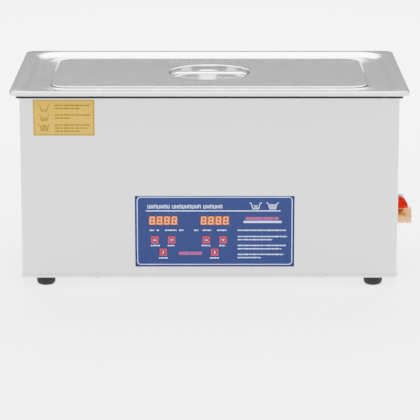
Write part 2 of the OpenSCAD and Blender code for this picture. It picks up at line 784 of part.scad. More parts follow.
module valve_lever() color("red") translate([ball_x, 0, lever_z]) difference() {
    union() {
        cylinder(r = 7, h = lever_t);
        linear_extrude(lever_t)
            polygon([[-5, -1], [5, -1], [7.2, 7.5 - lever_l], [-7.2, 7.5 - lever_l]]);
        translate([0, 7.5 - lever_l, 0]) cylinder(r = 7.5, h = lever_t);
    }
    translate([0, 0, -1]) cylinder(d = stem_d + 2 * slip, h = lever_t + 2);
}

module lever_nut() color("silver") translate([ball_x, 0, lever_z + lever_t + slip]) difference() {
    hex(10, 4);
    translate([0, 0, -1]) cylinder(d = stem_d + 2 * slip, h = 6);
}

module lock_nuts() color("goldenrod") {
    at_drain() translate([0, 0, tank_under_z - nut_t - slip]) difference() {
        hex(nut_af, nut_t);
        translate([0, 0, -1]) cylinder(d = thread_d + 2 * slip, h = nut_t + 2);
    }
    translate([side_x - sheet - nut_t - slip, 0, valve_z]) rotate([0, 90, 0]) difference() {
        hex(nut_af, nut_t);
        translate([0, 0, -1]) cylinder(d = thread_d + 2 * slip, h = nut_t + 2);
    }
}

// Rubber hose from the spud's barb, round one bend, onto the valve's tail
module drain_hose() color("#404040") {
    bore = barb_d + 2 * slip;
    top_z = tank_under_z - 11;
    bend_z = valve_z + hose_bend;
    end_x = side_x - 11;
    at_drain() translate([0, 0, bend_z]) difference() {
        cylinder(d = bore + 2 * hose_wall, h = top_z - bend_z);
        translate([0, 0, -1]) cylinder(d = bore, h = top_z - bend_z + 2);
    }
    translate([drain_x + hose_bend, 0, bend_z]) rotate([90, 0, 0]) rotate([0, 0, 180])
        rotate_extrude(angle = 90) translate([hose_bend, 0]) difference() {
            circle(d = bore + 2 * hose_wall);
            circle(d = bore);
        }
    translate([drain_x + hose_bend, 0, valve_z]) difference() {
        rod_x(bore + 2 * hose_wall, end_x - drain_x - hose_bend);
        translate([-1, 0, 0]) rod_x(bore, end_x - drain_x - hose_bend + 2);
    }
}

module clamp_band() difference() {
    hose_d = barb_d + 2 * slip + 2 * hose_wall;
    union() {
        cylinder(d = hose_d + 2.4, h = 8);
        translate([-5, hose_d / 2, 0]) cube([10, 6, 8]);
    }
    translate([0, 0, -1]) cylinder(d = hose_d + 2 * slip, h = 10);
}

module hose_clamps() color("lightgray") {
    at_drain() translate([0, 0, tank_under_z - 21]) clamp_band();
    translate([side_x - 21, 0, valve_z]) rotate([0, 90, 0]) clamp_band();
}

// ---- lid ----

// A tapered recess in the lid: wide at the border's level, narrow at the bottom
module lid_recess(top, bottom, inset_top, inset_bottom, corner_top, corner_bottom) hull() {
    layer(rim_l - 2 * inset_top, rim_w - 2 * inset_top, corner_top, top - eps);
    layer(rim_l - 2 * inset_bottom, rim_w - 2 * inset_bottom, corner_bottom, bottom);
}

module lid() color("silver") difference() {
    union() {
        translate([0, 0, lid_z]) slab(rim_l, rim_w, rim_corner, lid_edge_h);
        lid_recess(lid_top_z, channel_z - lid_sheet, lid_border - 1, slope_inset - 1, 36, 30);
        translate([0, 0, panel_z - lid_sheet - dish_depth])
            cylinder(d = dish_d + 2 * lid_sheet, h = dish_depth);
    }
    // above the sheet
    difference() {
        lid_recess(lid_top_z + 2 * eps, channel_z, lid_border, slope_inset, 35, 30);
        lid_recess(panel_z, channel_z - 1, step_inset + lid_step, step_inset, 22, 24);
    }
    translate([0, 0, panel_z]) slab(rim_l - 2 * slope_inset, rim_w - 2 * slope_inset, 30, lid_channel_depth);
    translate([0, 0, panel_z - dish_depth]) cylinder(d = dish_d, h = dish_depth + 1);
    // below the sheet
    difference() {
        translate([0, 0, lid_z - 1])
            slab(rim_l - 2 * lid_sheet, rim_w - 2 * lid_sheet, rim_corner - lid_sheet,
                lid_edge_h + 1 - lid_sheet);
        lid_recess(lid_top_z, channel_z - 2 * lid_sheet, lid_border - 1, slope_inset - 1, 36, 30);
    }
    difference() {
        lid_recess(panel_z - lid_sheet, channel_z - lid_sheet - 1,
            step_inset + lid_step + 1, step_inset + 1, 22, 24);
        translate([0, 0, channel_z - 5]) cylinder(d = dish_d + 2 * lid_sheet, h = 10);
    }
}

module lid_handle() color("silver") translate([0, 0, panel_z - strap_t]) intersection() {
    translate([-dish_d / 2, -strap_w / 2, 0]) cube([dish_d, strap_w, strap_t]);
    cylinder(d = dish_d - 2 * slip, h = strap_t);
}

// ---- basket ----

// A flat square mesh, from its corner
module mesh(l, h) {
    columns = max(1, round(l / mesh_pitch));
    rows = max(1, round(h / mesh_pitch));
    cell = [(l - mesh_t) / columns, (h - mesh_t) / rows];
    difference() {
        square([l, h]);
        for (i = [0:columns - 1], j = [0:rows - 1])
            translate([mesh_t + i * cell.x, mesh_t + j * cell.y]) square(cell - [mesh_t, mesh_t]);
    }
}

module basket_floor() color("lightgray") translate([0, 0, basket_floor_z]) linear_extrude(mesh_t) {
    floor_l = basket_l - 2 * mesh_t;
    floor_w = basket_w - 2 * mesh_t;
    intersection() {
        translate([-floor_l / 2, -floor_w / 2]) mesh(floor_l, floor_w);
        polygon([for (s = [[1, 1], [-1, 1], [-1, -1], [1, -1]], e = s.x * s.y > 0 ? [0, 1] : [1, 0])
            [s.x * (floor_l / 2 - e * basket_corner), s.y * (floor_w / 2 - (1 - e) * basket_corner)]]);
    }
}

// Stands a mesh up along X, from the middle of its lower edge
module upright(l) translate([-l / 2, mesh_t / 2, 0]) rotate([90, 0, 0])
    linear_extrude(mesh_t) mesh(l, basket_h);

module basket_walls() color("lightgray") translate([0, 0, basket_wall_z]) {
    inset = mesh_t / 2;
    for (y = [-1, 1]) translate([0, y * (basket_w / 2 - inset), 0])
        upright(basket_l - 2 * basket_corner);
    for (x = [-1, 1]) translate([x * (basket_l / 2 - inset), 0, 0]) rotate([0, 0, 90])
        upright(basket_w - 2 * basket_corner);
    for (x = [-1, 1], y = [-1, 1])
        translate([x * (basket_l / 2 - basket_corner / 2 - mesh_t),
            y * (basket_w / 2 - basket_corner / 2 - mesh_t), 0])
            rotate([0, 0, -45 * x * y]) upright(basket_corner * sqrt(2) - 2 * mesh_t);
}

module basket_rim() color("silver") translate([0, 0, basket_rim_z + wire_d / 2]) {
    l = basket_l / 2 - mesh_t / 2;
    w = basket_w / 2 - mesh_t / 2;
    for (y = [-w, w]) translate([basket_corner - l, y, 0]) rod_x(wire_d, 2 * (l - basket_corner));
    for (x = [-l, l]) translate([x, basket_corner - w, 0]) rod_y(wire_d, 2 * (w - basket_corner));
    for (a = [0, 90, 180, 270]) {
        corner = a % 180 == 0 ? [l, w] : [w, l];
        rotate([0, 0, a]) translate([corner.x - basket_corner, corner.y - basket_corner, 0])
            bend(basket_corner, wire_d);
    }
}

// Two arches inside the end walls, from the floor to above the rim
module basket_handles() color("silver") for (s = [-1, 1])
    translate([s * handle_x, 0, basket_wall_z + slip]) {
        r = 14;
        rise = basket_h + wire_d + handle_rise - wire_d / 2;
        for (y = [-handle_w / 2, handle_w / 2]) translate([0, y, 0]) cylinder(d = wire_d, h = rise - r);
        translate([0, r - handle_w / 2, rise]) rod_y(wire_d, handle_w - 2 * r);
        translate([0, handle_w / 2 - r, rise - r]) rotate([0, -90, 0]) bend(r, wire_d);
        mirror([0, 1, 0]) translate([0, handle_w / 2 - r, rise - r]) rotate([0, -90, 0]) bend(r, wire_d);
    }

// Two wires under the floor, from front to back
module basket_legs() color("silver") for (x = [-leg_x, leg_x])
    translate([x, -basket_w / 2 + tank_floor_r, floor_z + 0.4 + wire_d / 2])
        rod_y(wire_d, basket_w - 2 * tank_floor_r);

// ---- mains cord ----

function unit(v) = v / norm(v);

// Directions along a route, and two directions across it at each point
function along(p, i) = unit(p[min(i + 1, len(p) - 1)] - p[max(i - 1, 0)]);
function across(t) = unit(cross(t, abs(t.z) > 0.9 ? [1, 0, 0] : [0, 0, 1]));

// One closed tube along a route
module tube(p, d, sides) {
    rings = [for (i = [0:len(p) - 1]) let (t = along(p, i), u = across(t), v = cross(t, u))
        for (k = [0:sides - 1]) p[i] + d / 2 * (cos(k * 360 / sides) * u + sin(k * 360 / sides) * v)];
    walls = [for (i = [0:len(p) - 2], k = [0:sides - 1]) let (n = (k + 1) % sides)
        each [[i * sides + k, (i + 1) * sides + n, i * sides + n],
            [i * sides + k, (i + 1) * sides + k, (i + 1) * sides + n]]];
    first = [for (k = [0:sides - 1]) k];
    last = [for (k = [sides - 1:-1:0]) (len(p) - 1) * sides + k];
    polyhedron(rings, concat([first], walls, [last]));
}

module cord_connector() color("#181818") translate([shift_x + inlet_x, back_y, inlet_z + socket_dz]) {
    body_y = inlet_flange_t + part_gap;
    relief_y = cord_route[0].y - back_y;
    difference() {
        translate([0, body_y + eps, 0]) into_wall(body_y + 11) socket_outline(-0.2);
        for (x = [-7, 7]) translate([x, -6, 2]) cube([2.4, 14, 4.4], center = true);
        translate([0, -6, -2]) cube([2.4, 14, 4.4], center = true);
    }
    translate([0, relief_y - 24, 0]) into_wall(relief_y - 24 - body_y) round_rect(27, 19, 3);
    translate([0, relief_y - 24 - eps, 0]) rotate([-90, 0, 0]) cylinder(d1 = 13, d2 = 8.5, h = 24);
}

module cord_lead() color("#202020") tube(cord_route, cord_d, 8);

module cord_hank() color("#202020") linear_extrude(hank_h) {
    r = hank_r + cord_d / 2;
    translate([hank_x, hank_y - r]) square([hank_run, 2 * r]);
    for (x = [hank_x, hank_x + hank_run]) translate([x, hank_y]) circle(r);
}

// Three-pin plug, lying on the floor at the hank's end
module cord_plug() color("#181818") translate([-112, 214, plug_z]) rotate([0, 0, 180]) {
    relief = 28;
    rotate([0, 90, 0]) cylinder(d1 = 8.5, d2 = 14, h = relief);
    translate([relief - eps, 0, 0]) rotate([90, 0, 90]) linear_extrude(34) round_rect(26, 25, 6);
    for (y = [-6.35, 6.35]) translate([relief + 33, y - 0.75, -1]) cube([18, 1.5, 6.3]);
    translate([relief + 33, 0, -6.5]) rod_x(4.8, 20);
}

place() housing();
place() base_tray();
place() base_screws();
place() feet();
place() tank();
place() tank_seal();
place() control_overlay();
place() care_label();
place() rating_plate();
place() led_displays();
place() display_board();
place() key_switches();
place() mains_inlet();
place() inlet_pins();
place() transducer_horns();
place() piezo_rings();
place() electrode_rings();
place() back_masses();
place() transducer_bolts();
place() heater_pads();
place() thermal_cutout();
place() generator_board();
place() board_standoffs();
place() heat_sink();
place() power_transistors();
place() transformer();
place() choke();
place() capacitors();
place() fan_frame();
place() fan_guard();
place() drain_spud();
place() drain_hose();
place() hose_clamps();
place() lock_nuts();
place() valve_body();
place() valve_seats();
place() wiring();
place() valve_ball();
place() valve_lever();
place() lever_nut();
place() fan_rotor();
place() fuse_drawer();
place() fuse();
place() lid();
place() lid_handle();
place() basket_rim();
place() basket_floor();
place() basket_walls();
place() basket_handles();
place() basket_legs();
place() temp_up_key();
place() temp_down_key();
place() temp_power_key();
place() time_up_key();
place() time_down_key();
place() time_power_key();
cord_connector();
cord_lead();
cord_hank();
cord_plug();
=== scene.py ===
import json
import math

import bmesh
import bpy
from mathutils import Matrix, Vector


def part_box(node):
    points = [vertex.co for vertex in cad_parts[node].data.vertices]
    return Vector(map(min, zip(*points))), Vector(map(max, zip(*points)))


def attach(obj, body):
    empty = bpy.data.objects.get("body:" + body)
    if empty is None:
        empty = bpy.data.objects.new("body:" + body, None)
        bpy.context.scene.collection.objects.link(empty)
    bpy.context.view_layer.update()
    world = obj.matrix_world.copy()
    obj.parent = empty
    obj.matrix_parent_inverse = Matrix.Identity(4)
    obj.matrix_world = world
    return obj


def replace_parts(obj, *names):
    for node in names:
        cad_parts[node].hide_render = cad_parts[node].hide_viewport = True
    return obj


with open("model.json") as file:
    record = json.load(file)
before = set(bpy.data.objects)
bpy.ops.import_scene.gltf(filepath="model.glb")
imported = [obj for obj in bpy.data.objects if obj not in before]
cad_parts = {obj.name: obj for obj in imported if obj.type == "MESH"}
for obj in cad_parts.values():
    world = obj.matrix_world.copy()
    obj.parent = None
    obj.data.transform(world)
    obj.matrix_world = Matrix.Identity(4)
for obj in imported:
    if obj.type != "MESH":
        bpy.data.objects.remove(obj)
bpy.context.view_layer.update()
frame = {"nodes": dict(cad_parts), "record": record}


# ---- camera and studio ----
# A long lens a little above the lid, over a plain pale lit floor with a grey backdrop
# far behind. One large soft box hangs in front and above, a weaker one stands at each
# side, and a strong one behind puts the bright bands on the lid's slopes.
def linear(hex_colour):
    parts = [int(hex_colour[i:i + 2], 16) / 255 for i in (1, 3, 5)]
    return [c / 12.92 if c <= 0.04045 else ((c + 0.055) / 1.055) ** 2.4 for c in parts] + [1.0]


def add(tree, kind, links=(), values=(), **settings):
    node = tree.nodes.new(kind)
    for key, value in settings.items():
        setattr(node, key, value)
    for socket, value in dict(values).items():
        node.inputs[socket].default_value = value
    for socket, source in dict(links).items():
        tree.links.new(source, node.inputs[socket])
    return node


def new_material(name, colour, metallic=0.0, roughness=0.5, **sockets):
    made = bpy.data.materials.new(name)
    made.use_nodes = True
    shader = made.node_tree.nodes["Principled BSDF"]
    shader.inputs["Base Color"].default_value = linear(colour)
    shader.inputs["Metallic"].default_value = metallic
    shader.inputs["Roughness"].default_value = roughness
    for socket, value in sockets.items():
        shader.inputs[socket.replace("_", " ")].default_value = value
    return made, made.node_tree, shader


camera = bpy.data.objects.new("camera", bpy.data.cameras.new("camera"))
bpy.context.scene.collection.objects.link(camera)
camera.location = (-0.0083, -3.1547, 0.8381)
camera.rotation_euler = (math.radians(90 - 13.69), 0, 0)
camera.data.sensor_width = 36
camera.data.lens = 198.2
bpy.context.scene.camera = camera

floor_paint, _, _ = new_material("lit_table_acrylic", "#f6f6f6", roughness=0.8,
                                 Emission_Color=linear("#ffffff"), Emission_Strength=2.6)
backdrop_paint, _, _ = new_material("grey_backdrop_paint", "#747474", roughness=0.8)
for name, size, turn, place, paint in (
    ("studio_floor", 12, 0, (0, 0, 0), floor_paint),
    ("studio_backdrop", 12, 90, (0, 5, 5), backdrop_paint),
):
    bm = bmesh.new()
    bmesh.ops.create_grid(bm, x_segments=1, y_segments=1, size=size / 2)
    bmesh.ops.transform(bm, matrix=Matrix.Rotation(math.radians(turn), 4, "X"), verts=bm.verts)
    bmesh.ops.translate(bm, vec=place, verts=bm.verts)
    sheet_mesh = bpy.data.meshes.new(name)
    bm.to_mesh(sheet_mesh)
    bm.free()
    sheet_mesh.materials.append(paint)
    stage_piece = bpy.data.objects.new(name, sheet_mesh)
    bpy.context.scene.collection.objects.link(stage_piece)

world = bpy.data.worlds.new("studio_air")
world.use_nodes = True
world.node_tree.nodes["Background"].inputs["Color"].default_value = linear("#ffffff")
world.node_tree.nodes["Background"].inputs["Strength"].default_value = 0.95
bpy.context.scene.world = world
for name, size, power, place in (
    ("front_box", 1.8, 95, (0.2, -1.5, 2.6)),
    ("left_box", 1.4, 16, (-2.2, -0.8, 1.3)),
    ("right_box", 1.4, 14, (2.2, -0.6, 1.2)),
    ("rear_box", 2.2, 300, (0, 2.0, 2.3)),
):
    light = bpy.data.objects.new(name, bpy.data.lights.new(name, "AREA"))
    light.data.shape = "SQUARE"
    light.data.size = size
    light.data.energy = power
    light.location = place
    light.rotation_euler = (Vector((0, 0, 0.15)) - Vector(place)).to_track_quat("-Z", "Y").to_euler()
    bpy.context.scene.collection.objects.link(light)


# ---- housing and tray ----
# The housing and its tray are folded from 1 mm stainless sheet with a fine brushed grain
# along their length, spot-welded, and screwed together through the feet.
MM = 0.001


def brushed_steel(name, colour, roughness, grain, depth):
    made, tree, shader = new_material(name, colour, 1.0, roughness)
    place = add(tree, "ShaderNodeTexCoord")
    stretched = add(tree, "ShaderNodeMapping", {"Vector": place.outputs["Object"]}, {"Scale": grain})
    lines = add(tree, "ShaderNodeTexNoise", {"Vector": stretched.outputs["Vector"]},
                {"Scale": 1.0, "Detail": 3.0, "Roughness": 0.6})
    rough = add(tree, "ShaderNodeMapRange", {"Value": lines.outputs["Fac"]},
                {"To Min": roughness - 0.07, "To Max": roughness + 0.09})
    tone = add(tree, "ShaderNodeMix", {"Factor": lines.outputs["Fac"]}, data_type="RGBA")
    tone.inputs["A"].default_value = [c * 0.93 for c in linear(colour)[:3]] + [1]
    tone.inputs["B"].default_value = [min(1, c * 1.06) for c in linear(colour)[:3]] + [1]
    bump = add(tree, "ShaderNodeBump", {"Height": lines.outputs["Fac"]},
               {"Strength": 0.25, "Distance": depth})
    tree.links.new(tone.outputs["Result"], shader.inputs["Base Color"])
    tree.links.new(rough.outputs["Result"], shader.inputs["Roughness"])
    tree.links.new(bump.outputs["Normal"], shader.inputs["Normal"])
    return made


def finish_slot(slot, material):
    """Gives the material to every CAD node with this slot."""
    for row in frame["record"]["subparts"]:
        if row["material_slot"] == slot:
            mesh = frame["nodes"][row["node"]].data
            mesh.materials.clear()
            mesh.materials.append(material)


def body_of(node):
    bodies = frame["record"]["behaviour"]["bodies"]
    return next(name for name, members in bodies.items() if node in members)


def make_piece(name, bm, material, body, crease=35):
    for face in bm.faces:
        face.smooth = True
    for edge in bm.edges:
        edge.smooth = edge.calc_face_angle(0) < math.radians(crease)
    mesh = bpy.data.meshes.new(name)
    bm.to_mesh(mesh)
    bm.free()
    mesh.materials.append(material)
    piece = bpy.data.objects.new(name, mesh)
    bpy.context.scene.collection.objects.link(piece)
    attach(piece, body)
    return piece


def eased(node, radius_mm, segments=2):
    cad_mesh = frame["nodes"][node].data
    bm = bmesh.new()
    bm.from_mesh(cad_mesh)
    bmesh.ops.remove_doubles(bm, verts=bm.verts, dist=0.01 * MM)
    bmesh.ops.dissolve_limit(bm, angle_limit=math.radians(1), verts=bm.verts, edges=bm.edges)
    bmesh.ops.recalc_face_normals(bm, faces=bm.faces)
    piece = make_piece("eased_" + node, bm, cad_mesh.materials[0], body_of(node))
    bevel = piece.modifiers.new("ease", "BEVEL")
    bevel.width = radius_mm * MM
    bevel.segments = segments
    bevel.limit_method = "ANGLE"
    bevel.angle_limit = math.radians(35)
    bevel.harden_normals = False
    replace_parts(piece, node)
    return piece


# Brushed stainless sheet: broad soft reflections, broken into faint lines along the
# length. The lines are 0.8 mm apart, coarser than real grain so that they show.
housing_steel = brushed_steel("grained_stainless_sheet", "#b9b9b9", 0.42, (14, 14, 1250), 0.00004)
finish_slot("housing_steel", housing_steel)
eased("base_tray", 0.4)
# Zinc-plated screws, nuts and clips: a cool grey with a cloudy 4 mm spangle
zinc_steel = brushed_steel("zinc_plated_steel", "#a7aab0", 0.36, (260, 260, 260), 0.00003)
finish_slot("plated_steel", zinc_steel)
eased("base_screws", 0.5)


# ---- feet and tank seal ----
# Four moulded rubber feet, domed underneath, each held by a screw in its middle, and
# the rubber strip that the tank's flange rests on.
def moulded(name, colour, roughness, grit_mm, depth, **sockets):
    made, tree, shader = new_material(name, colour, 0.0, roughness, **sockets)
    place = add(tree, "ShaderNodeTexCoord")
    grit = add(tree, "ShaderNodeTexNoise", {"Vector": place.outputs["Object"]},
               {"Scale": 1000 / grit_mm, "Detail": 4.0})
    rough = add(tree, "ShaderNodeMapRange", {"Value": grit.outputs["Fac"]},
                {"To Min": max(0.02, roughness - 0.08), "To Max": min(1, roughness + 0.08)})
    bump = add(tree, "ShaderNodeBump", {"Height": grit.outputs["Fac"]},
               {"Strength": 0.3, "Distance": depth})
    tree.links.new(rough.outputs["Result"], shader.inputs["Roughness"])
    tree.links.new(bump.outputs["Normal"], shader.inputs["Normal"])
    return made


# Nitrile rubber: nearly black and dull, with a fine 1.2 mm mottle
nitrile = moulded("nitrile_rubber", "#0a0a0b", 0.75, 1.2, 0.00012, Specular_IOR_Level=0.25)
finish_slot("foot_rubber", nitrile)
eased("tank_seal", 0.8)
feet_low, feet_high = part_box("feet")
FOOT_TOP_R, FOOT_REST_R, FOOT_H = 0.0135, 0.0085, feet_high[2] - feet_low[2]
DOME_R, DOME_H, SCREW_HOLE_R = 0.0130, 0.0062, 0.0045
foot_section = [(SCREW_HOLE_R, 0.004), (0.005, 0.0), (FOOT_REST_R, 0.0)]
for i in range(1, 7):
    turn = math.radians(15 * i)
    foot_section.append((FOOT_REST_R + (DOME_R - FOOT_REST_R) * math.sin(turn),
                         DOME_H * (1 - math.cos(turn))))
foot_section += [(FOOT_TOP_R, FOOT_H - 0.0006), (FOOT_TOP_R - 0.0004, FOOT_H), (SCREW_HOLE_R, FOOT_H)]
bm = bmesh.new()
for x in (feet_low[0] + FOOT_TOP_R, feet_high[0] - FOOT_TOP_R):
    for y in (feet_low[1] + FOOT_TOP_R, feet_high[1] - FOOT_TOP_R):
        ring = [bm.verts.new((x + r, y, feet_low[2] + z)) for r, z in foot_section]
        ring_edges = [bm.edges.new((a, b)) for a, b in zip(ring, ring[1:] + ring[:1])]
        bmesh.ops.spin(bm, geom=ring + ring_edges, cent=(x, y, 0), axis=(0, 0, 1),
                       angle=2 * math.pi, steps=40, use_merge=True)
bmesh.ops.recalc_face_normals(bm, faces=bm.faces)
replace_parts(make_piece("domed_feet", bm, nitrile, "root"), "feet")


# ---- inlet, fan and generator ----
# A moulded mains inlet with a fuse drawer in its lower edge, an axial fan in the tray,
# and the generator board that drives the transducers glued and bolted under the tank.

# Spark-eroded ABS: black with a fine dry texture that kills sharp reflections
black_abs = moulded("spark_eroded_abs", "#0f1011", 0.5, 0.9, 0.00008, Specular_IOR_Level=0.35)
finish_slot("black_plastic", black_abs)
for node, radius_mm in (("mains_inlet", 0.5), ("fuse_drawer", 0.3), ("fan_frame", 0.5)):
    eased(node, radius_mm)
# Drawn glass of the fuse: clear, with sharp highlights
fuse_glass, _, _ = new_material("drawn_fuse_glass", "#e8eeee", roughness=0.05,
                                Transmission_Weight=0.8)
finish_slot("fuse_glass", fuse_glass)
# Extruded wire insulation: an even red with a soft shine
wire_pvc = moulded("wire_pvc", "#a31d1d", 0.4, 1.5, 0.00004)
finish_slot("wire_pvc", wire_pvc)
# Solder mask on the boards: glossy green
board_mask = moulded("solder_mask", "#1d5b35", 0.35, 3.0, 0.00004)
finish_slot("circuit_board", board_mask)
# Tinned copper pins, electrodes and windings: warm metal, a little cloudy
tinned_copper = brushed_steel("tinned_copper_strip", "#c39a77", 0.38, (300, 300, 300), 0.00002)
finish_slot("tinned_copper", tinned_copper)
# Turned aluminium horns and heat sink: pale, with turning lines 0.8 mm apart
turned_aluminium = brushed_steel("turned_aluminium", "#c5c7ca", 0.36, (90, 90, 1200), 0.00003)
finish_slot("aluminium", turned_aluminium)
# Fired piezo ceramic: dull brown-grey and faintly grainy
fired_ceramic = moulded("fired_piezo_ceramic", "#74685c", 0.55, 0.8, 0.00005)
finish_slot("piezo_ceramic", fired_ceramic)
# Turned carbon steel, oiled: a dark metal with fine turning lines
dark_steel = brushed_steel("turned_dark_steel", "#6b6d70", 0.4, (90, 90, 900), 0.00003)
finish_slot("dark_steel", dark_steel)
# Silicone heater pads: matt brick orange
heater_silicone = moulded("cured_silicone_pad", "#b4542b", 0.65, 1.5, 0.0001)
finish_slot("heater_silicone", heater_silicone)


# ---- mains cord ----
# A 7 mm three-core PVC cord: a moulded appliance connector in the back of the housing,
# a drop to the floor, three turns folded into a hank tied at the waist, and a plug.
CORD_D = 0.007
# Soft cord PVC: black with a low sheen, so that the round of it shows
cord_pvc = moulded("soft_cord_pvc", "#0c0c0d", 0.45, 1.6, 0.00006, Specular_IOR_Level=0.35)
finish_slot("cord_pvc", cord_pvc)
ROUTE_MM = [
    (-160, 205, 75), (-160, 212, 75), (-160, 226, 74.5), (-159, 238, 70), (-156, 248, 60),
    (-150, 256, 46), (-142, 262, 31), (-131, 267, 17), (-117, 270, 7.5), (-101, 271, 3.5),
    (-92, 271, 3.5),
]
HANK_X, HANK_RUN, HANK_Y = -80, 120, 235.6
LAY_Z = 3.5
WAIST = 17


def waist_shift(x):
    return WAIST * math.sin(math.pi * (x - HANK_X) / HANK_RUN) ** 2


def run_points(y, backwards):
    side = 1 if y > HANK_Y else -1
    steps = [i / 8 for i in range(9)]
    xs = [HANK_X + HANK_RUN * (1 - t if backwards else t) for t in steps]
    return [(x, y - side * waist_shift(x), LAY_Z) for x in xs]


def fold_points(x, y_from, y_to, outward):
    centre, radius = (y_from + y_to) / 2, abs(y_from - y_to) / 2
    start = 90 if y_from > y_to else -90
    angles = [math.radians(start * (1 - 2 * i / 8)) for i in range(1, 8)]
    return [(x + outward * radius * math.cos(a), centre + radius * math.sin(a), LAY_Z) for a in angles]


points = list(ROUTE_MM)
tops = [271 - 7.1 * k for k in range(3)]
bottoms = [200.2 + 7.1 * k for k in range(3)]
for k in range(3):
    points += run_points(tops[k], False)
    points += fold_points(HANK_X + HANK_RUN, tops[k], bottoms[k], 1)
    if k < 2:
        points += run_points(bottoms[k], True)
        points += fold_points(HANK_X, bottoms[k], tops[k + 1], -1)
tail = run_points(bottoms[2], True)[:-1]
points += tail + [(-84, 214.4, 7), (-93, 214.2, 10.8), (-104, 214, 11.6), (-116, 214, 12.4)]

cord_curve = bpy.data.curves.new("mains_cord", "CURVE")
cord_curve.dimensions = "3D"
cord_curve.bevel_depth = CORD_D / 2
cord_curve.bevel_resolution = 4
cord_curve.resolution_u = 6
cord_curve.use_fill_caps = True
spline = cord_curve.splines.new("BEZIER")
spline.bezier_points.add(len(points) - 1)
for knot, point in zip(spline.bezier_points, points):
    knot.co = [c * MM for c in point]
    knot.handle_left_type = knot.handle_right_type = "AUTO"
cord_curve.materials.append(cord_pvc)
cord = bpy.data.objects.new("mains_cord", cord_curve)
bpy.context.scene.collection.objects.link(cord)
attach(cord, "root")
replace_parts(cord, "cord_lead", "cord_hank")
connector = eased("cord_connector", 1.2, 3)
plug = eased("cord_plug", 0.7, 2)

# A hook-and-loop strap round the hank's waist
bm = bmesh.new()
bmesh.ops.create_cube(bm, size=1)
bmesh.ops.scale(bm, vec=(0.018, 0.0475, 0.0095), verts=bm.verts)
bmesh.ops.bevel(bm, geom=[e for e in bm.edges if abs(e.verts[0].co.x - e.verts[1].co.x) > 0.001],
                offset=0.0042, offset_type="OFFSET", segments=5, profile=0.5, affect="EDGES", material=-1)
bmesh.ops.delete(bm, geom=[f for f in bm.faces if abs(f.normal.x) > 0.9], context="FACES")
bmesh.ops.solidify(bm, geom=bm.faces, thickness=0.0011)
centre = ((HANK_X + HANK_RUN / 2) * MM, HANK_Y * MM, 0.00475)
bmesh.ops.translate(bm, vec=centre, verts=bm.verts)
tie = make_piece("cord_tie", bm, nitrile, "root")


# ---- lid ----
# One deep-drawn 0.8 mm stainless sheet of the standard 530 x 325 mm pan size: a flat
# border with a turned-down edge, an S-shaped slope to a channel, a raised centre panel
# and a round hand recess, with a strap welded across it.
def first_loop(bm, shape):
    """The outer edge of a sheet: a rectangle with round corners, with no face in it."""
    inset, radius, z = shape
    made = bmesh.ops.create_grid(bm, x_segments=1, y_segments=1, size=0.5)
    bmesh.ops.scale(bm, vec=(lid_l - 2 * inset, lid_w - 2 * inset, 1), verts=made["verts"])
    bmesh.ops.translate(bm, vec=(mid_x, 0, z), verts=made["verts"])
    bmesh.ops.bevel(bm, geom=made["verts"], offset=radius, offset_type="OFFSET",
                    segments=8, profile=0.5, affect="VERTICES", material=-1)
    bmesh.ops.delete(bm, geom=list(bm.faces), context="FACES_ONLY")
    return list(bm.edges)


def next_loop(bm, edges, old, new):
    """Carries the sheet on to its next shape, each corner turning about its own centre."""
    made = bmesh.ops.extrude_edge_only(bm, edges=edges)["geom"]
    verts = {item for item in made if isinstance(item, bmesh.types.BMVert)}
    (inset_0, radius_0, _), (inset_1, radius_1, z) = old, new
    for vert in verts:
        for axis, side, middle in ((0, lid_l / 2, mid_x), (1, lid_w / 2, 0.0)):
            off = vert.co[axis] - middle
            turn = (abs(off) - (side - inset_0 - radius_0)) / radius_0
            vert.co[axis] = middle + math.copysign(side - inset_1 - radius_1 + radius_1 * turn, off)
        vert.co.z = z
    edges = [item for item in made if isinstance(item, bmesh.types.BMEdge)]
    return [edge for edge in edges if set(edge.verts) <= verts]


def drawn_sheet(bm, shapes):
    edges = first_loop(bm, shapes[0])
    for old, new in zip(shapes, shapes[1:]):
        edges = next_loop(bm, edges, old, new)
    return edges


def face_up(bm):
    bmesh.ops.remove_doubles(bm, verts=bm.verts, dist=0.01 * MM)
    bmesh.ops.recalc_face_normals(bm, faces=bm.faces)
    if sum(face.normal.z * face.calc_area() for face in bm.faces) < 0:
        bmesh.ops.reverse_faces(bm, faces=bm.faces)


# Satin stainless: a finer face than the housing's, which gives clear bright bands on
# the slopes and soft grey flats. Its grain lines are 1.4 mm apart.
satin_steel = brushed_steel("satin_stainless_pressing", "#bebebe", 0.17, (22, 700, 700), 0.000008)
finish_slot("bright_steel", satin_steel)
lid_low, lid_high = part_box("lid")
mid_x = (lid_low[0] + lid_high[0]) / 2
lid_l, lid_w, lid_top = lid_high[0] - lid_low[0], lid_high[1] - lid_low[1], lid_high[2]
BORDER, SLOPE, CHANNEL, STEP = 0.010, 0.021, 0.019, 0.003
CHANNEL_DEPTH, PANEL_RISE = 0.005, 0.0027
CORNER_R, EDGE_R, EDGE_H, LID_SHEET = 0.012, 0.0012, 0.0038, 0.0008
DISH_R, DISH_DEPTH, DISH_LIP = 0.0555, 0.014, 0.0018
STRAP_W, STRAP_BEND, STRAP_T = 0.018, 0.012, 0.0015
panel_top = lid_top - CHANNEL_DEPTH + PANEL_RISE

